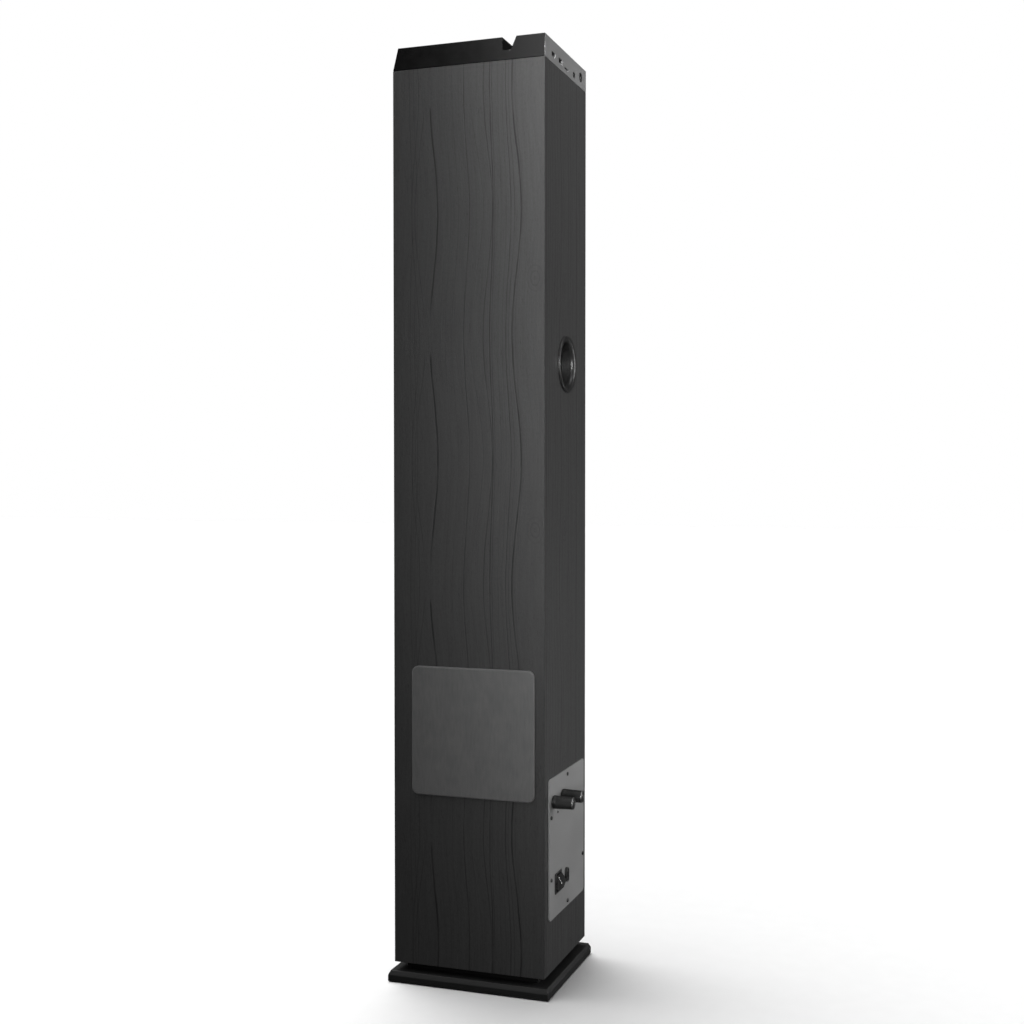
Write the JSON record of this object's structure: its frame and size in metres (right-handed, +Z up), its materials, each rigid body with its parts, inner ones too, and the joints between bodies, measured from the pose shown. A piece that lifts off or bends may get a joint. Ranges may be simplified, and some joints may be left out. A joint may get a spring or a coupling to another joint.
{
  "type": "floorstanding speaker",
  "caption": "Slim floorstanding speaker with a wood-vinyl cabinet on a base plate, a tablet slot and input panel at the top, a side woofer grille, a rear port and an amplifier plate.",
  "frame": {"origin": "middle of the base plate's footprint, on the floor", "axes": "+Z up along the column; the front grille faces -Y, the amplifier plate faces +Y, and the side woofer grille faces +X"},
  "size_m": [0.168, 0.21, 1.047],
  "materials": {
    "wood_vinyl": "black ash wood-grain vinyl on board",
    "raw_board": "raw medium-density fibreboard",
    "black_plastic": "fine-textured black plastic",
    "spacer_black": "matt black",
    "foot_rubber": "matt black rubber",
    "grille_cloth": "dark grey woven speaker cloth",
    "cone_paper": "black coated cone",
    "surround_rubber": "soft black rubber",
    "cast_frame": "black painted steel",
    "magnet_steel": "zinc-plated steel",
    "dome_silk": "coated silk dome",
    "plate_paint": "satin grey paint",
    "screw_steel": "black zinc",
    "sheet_steel": "plated sheet steel",
    "circuit_board": "green circuit board",
    "touch_gloss": "polished black",
    "socket_metal": "plated socket shell"
  },
  "bodies": {
    "cabinet": {"bottom_board": "wood_vinyl", "top_board": "wood_vinyl", "base_plate": "wood_vinyl", "side_panel_left": "wood_vinyl", "side_panel_right": "wood_vinyl", "back_panel": "wood_vinyl", "brace_lower": "raw_board", "brace_upper": "raw_board", "front_baffle": "black_plastic", "port_tube": "black_plastic", "tweeter_faceplate": "black_plastic", "power_switch_housing": "black_plastic", "mains_inlet": "black_plastic", "cap_shell": "black_plastic", "aux_jack": "black_plastic", "mic_jack": "black_plastic", "plinth_spacer": "spacer_black", "foot_front_left": "foot_rubber", "foot_front_right": "foot_rubber", "foot_rear_left": "foot_rubber", "foot_rear_right": "foot_rubber", "woofer_surround": "surround_rubber", "upper_mid_surround": "surround_rubber", "lower_mid_surround": "surround_rubber", "woofer_basket": "cast_frame", "upper_mid_basket": "cast_frame", "lower_mid_basket": "cast_frame", "woofer_magnet": "magnet_steel", "upper_mid_magnet": "magnet_steel", "lower_mid_magnet": "magnet_steel", "tweeter_magnet": "magnet_steel", "mains_transformer": "magnet_steel", "amp_plate": "plate_paint", "io_panel": "plate_paint", "amp_screw_1": "screw_steel", "amp_screw_2": "screw_steel", "amp_screw_3": "screw_steel", "amp_screw_4": "screw_steel", "amp_screw_5": "screw_steel", "amp_screw_6": "screw_steel", "amp_back_box": "sheet_steel", "bass_pot": "sheet_steel", "treble_pot": "sheet_steel", "amp_circuit_board": "circuit_board", "touch_panel": "touch_gloss", "usb_socket_1": "socket_metal", "usb_socket_2": "socket_metal", "memory_card_socket": "socket_metal"},
    "side_grille": {"side_grille_frame": "black_plastic", "side_grille_cloth": "grille_cloth"},
    "front_grille": {"front_grille_frame": "black_plastic", "front_grille_cloth": "grille_cloth"},
    "woofer_cone": {"woofer_cone": "cone_paper", "woofer_dust_cap": "cone_paper"},
    "upper_mid_cone": {"upper_mid_cone": "cone_paper"},
    "lower_mid_cone": {"lower_mid_cone": "cone_paper"},
    "tweeter_dome": {"tweeter_dome": "dome_silk"},
    "bass_knob": {"bass_knob": "black_plastic"},
    "treble_knob": {"treble_knob": "black_plastic"},
    "power_rocker": {"power_rocker": "black_plastic"}
  },
  "joints": [
    {"name": "front_grille_pull", "type": "slide", "parent": "cabinet", "child": "front_grille", "axis": [0, -1, 0], "range_m": [0, 0.025]},
    {"name": "side_grille_pull", "type": "slide", "parent": "cabinet", "child": "side_grille", "axis": [1, 0, 0], "range_m": [0, 0.02]},
    {"name": "woofer_excursion", "type": "slide", "parent": "cabinet", "child": "woofer_cone", "axis": [1, 0, 0], "range_m": [-0.004, 0.004], "stiffness_N_per_m": 1000},
    {"name": "upper_mid_excursion", "type": "slide", "parent": "cabinet", "child": "upper_mid_cone", "axis": [0, -1, 0], "range_m": [-0.002, 0.002], "stiffness_N_per_m": 1200},
    {"name": "lower_mid_excursion", "type": "slide", "parent": "cabinet", "child": "lower_mid_cone", "axis": [0, -1, 0], "range_m": [-0.002, 0.002], "stiffness_N_per_m": 1200},
    {"name": "tweeter_excursion", "type": "slide", "parent": "cabinet", "child": "tweeter_dome", "axis": [0, -1, 0], "range_m": [-0.0003, 0.0003], "stiffness_N_per_m": 1500},
    {"name": "bass_knob_turn", "type": "hinge", "parent": "cabinet", "child": "bass_knob", "pos_m": [0.053, 0.0909, 0.212], "axis": [0, 1, 0], "range_deg": [-150, 150]},
    {"name": "treble_knob_turn", "type": "hinge", "parent": "cabinet", "child": "treble_knob", "pos_m": [0.0185, 0.0909, 0.212], "axis": [0, 1, 0], "range_deg": [-150, 150]},
    {"name": "power_rocker_tilt", "type": "hinge", "parent": "cabinet", "child": "power_rocker", "pos_m": [0.0355, 0.0909, 0.1185], "axis": [-1, 0, 0], "range_deg": [0, 16]}
  ]
}
